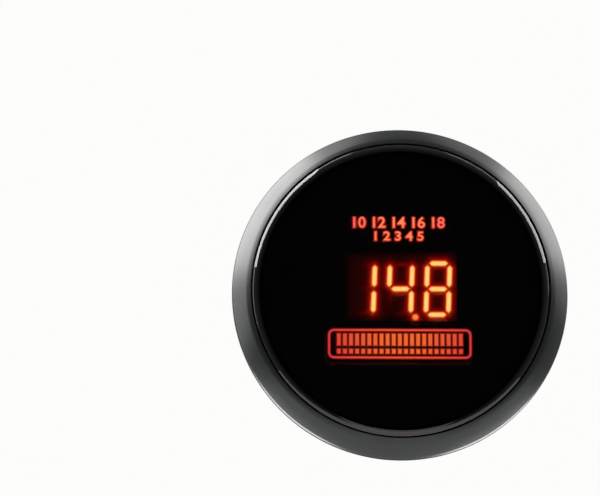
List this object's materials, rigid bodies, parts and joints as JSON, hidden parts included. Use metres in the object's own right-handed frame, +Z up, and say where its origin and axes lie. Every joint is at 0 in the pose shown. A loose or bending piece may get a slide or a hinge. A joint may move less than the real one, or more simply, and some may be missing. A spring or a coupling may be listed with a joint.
{
  "type": "air fuel ratio gauge",
  "caption": "Round panel gauge with a smoked lens over a three-digit light-up display, a black bezel, a rear plug socket and a rear strap clamp with thumb nuts.",
  "frame": {"origin": "centre of the housing in the plane of the panel's front face, where the bezel seats", "axes": "the dial looks towards -Y, +Z is up on the dial and +X is to the right of the dial"},
  "size_m": [0.06, 0.0557, 0.06],
  "materials": {
    "bezel_black": "satin",
    "smoked_lens": "gloss",
    "black_rubber": "matte",
    "dial_black": "matte",
    "window_film": "satin",
    "light_box_grey": "matte",
    "display_red": "satin",
    "lit_bar": "satin",
    "unlit_bar": "satin",
    "tinned_metal": "satin",
    "lamp_plastic": "gloss",
    "board_green": "satin",
    "chip_black": "matte",
    "resistor_black": "satin",
    "capacitor_tan": "satin",
    "ferrite_grey": "matte",
    "capacitor_can": "satin",
    "spacer_brass": "satin",
    "screw_steel": "satin",
    "connector_black": "satin",
    "housing_black": "satin",
    "stud_steel": "satin",
    "clamp_steel": "satin",
    "nut_brass": "satin"
  },
  "bodies": {
    "gauge": {"bezel": "bezel_black", "lens": "smoked_lens", "lens_gasket": "black_rubber", "dial_plate": "dial_black", "upper_window_film": "window_film", "lower_window_film": "window_film", "light_box": "light_box_grey", "display_body": "display_red", "lit_bars": "lit_bar", "unlit_bars": "unlit_bar", "display_pins": "tinned_metal", "scale_lamps": "lamp_plastic", "display_board": "board_green", "controller_chip": "chip_black", "driver_chip": "chip_black", "chip_leads": "tinned_metal", "board_resistors": "resistor_black", "board_capacitors": "capacitor_tan", "clock_crystal": "tinned_metal", "board_spacers": "spacer_brass", "spacer_screws": "screw_steel", "power_board": "board_green", "voltage_regulator": "chip_black", "filter_capacitor": "capacitor_can", "power_inductor": "ferrite_grey", "protection_diode": "chip_black", "link_socket": "connector_black", "link_header": "connector_black", "link_pins": "tinned_metal", "connector_shroud": "connector_black", "connector_pins": "tinned_metal", "housing": "housing_black", "rear_cover": "housing_black", "cover_screws": "screw_steel", "left_stud": "stud_steel", "right_stud": "stud_steel"},
    "clamp": {"clamp_bracket": "clamp_steel", "plain_washers": "clamp_steel", "spring_washers": "clamp_steel"},
    "left_nut": {"left_thumb_nut": "nut_brass"},
    "right_nut": {"right_thumb_nut": "nut_brass"}
  },
  "joints": [
    {"name": "clamp_slide", "type": "slide", "parent": "gauge", "child": "clamp", "axis": [0, 1, 0], "range_m": [-0.002, 0.008]},
    {"name": "left_nut_spin", "type": "hinge", "parent": "clamp", "child": "left_nut", "pos_m": [-0.014, 0.036, 0], "axis": [0, 1, 0], "range_deg": [-1028.58, 4114.29]},
    {"name": "right_nut_spin", "type": "hinge", "parent": "clamp", "child": "right_nut", "pos_m": [0.014, 0.036, 0], "axis": [0, 1, 0], "range_deg": [-1028.58, 4114.29]}
  ],
  "couplings": [
    {"joint": "left_nut_spin", "follows": "clamp_slide", "rad_per_m": 8976},
    {"joint": "right_nut_spin", "follows": "clamp_slide", "rad_per_m": 8976}
  ]
}
